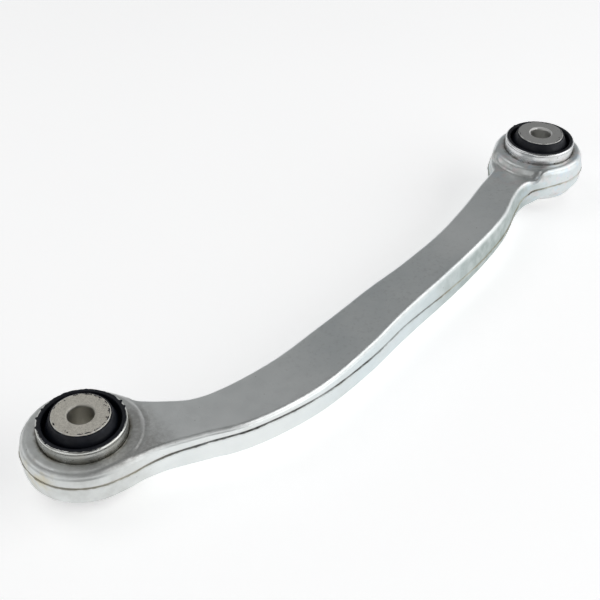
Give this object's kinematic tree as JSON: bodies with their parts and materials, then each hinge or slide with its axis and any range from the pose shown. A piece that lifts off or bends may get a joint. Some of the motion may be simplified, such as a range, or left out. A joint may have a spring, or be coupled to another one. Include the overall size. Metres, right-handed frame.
{
  "type": "suspension control arm",
  "caption": "Bowed forged suspension control arm with a bonded rubber bush pressed into the eye at each end.",
  "frame": {"origin": "on the inboard bolt hole's axis, halfway up the inboard bush", "axes": "+Z along the bolt axes towards the side where the outboard bush stands higher, +X from the inboard bush to the outboard bush; the bar bows towards -Y"},
  "size_m": [0.3926, 0.0825, 0.0424],
  "materials": {
    "forged_aluminium": "blasted forging, satin",
    "sleeve_steel": "zinc-plated, bright",
    "bush_rubber": "moulded, satin",
    "inner_sleeve_metal": "as sawn and phosphated, matt"
  },
  "bodies": {
    "link": {"arm_forging": "forged_aluminium", "inboard_outer_sleeve": "sleeve_steel", "outboard_outer_sleeve": "sleeve_steel"},
    "inboard_cushion": {"inboard_rubber": "bush_rubber"},
    "inboard_centre": {"inboard_inner_sleeve": "inner_sleeve_metal"},
    "outboard_cushion": {"outboard_rubber": "bush_rubber"},
    "outboard_centre": {"outboard_inner_sleeve": "inner_sleeve_metal"}
  },
  "joints": [
    {"name": "inboard_tilt", "type": "hinge", "parent": "link", "child": "inboard_cushion", "pos_m": [0, 0, 0], "axis": [0, 1, 0], "range_deg": [-3, 3], "stiffness_Nm_per_rad": 120, "deforming": ["inboard_rubber"]},
    {"name": "inboard_twist", "type": "hinge", "parent": "inboard_cushion", "child": "inboard_centre", "pos_m": [0, 0, 0], "axis": [0, 0, 1], "range_deg": [-20, 20], "stiffness_Nm_per_rad": 60},
    {"name": "outboard_tilt", "type": "hinge", "parent": "link", "child": "outboard_cushion", "pos_m": [0.337, 0, 0.0044], "axis": [0, 1, 0], "range_deg": [-3, 3], "stiffness_Nm_per_rad": 120, "deforming": ["outboard_rubber"]},
    {"name": "outboard_twist", "type": "hinge", "parent": "outboard_cushion", "child": "outboard_centre", "pos_m": [0.337, 0, 0.0044], "axis": [0, 0, 1], "range_deg": [-20, 20], "stiffness_Nm_per_rad": 60}
  ]
}
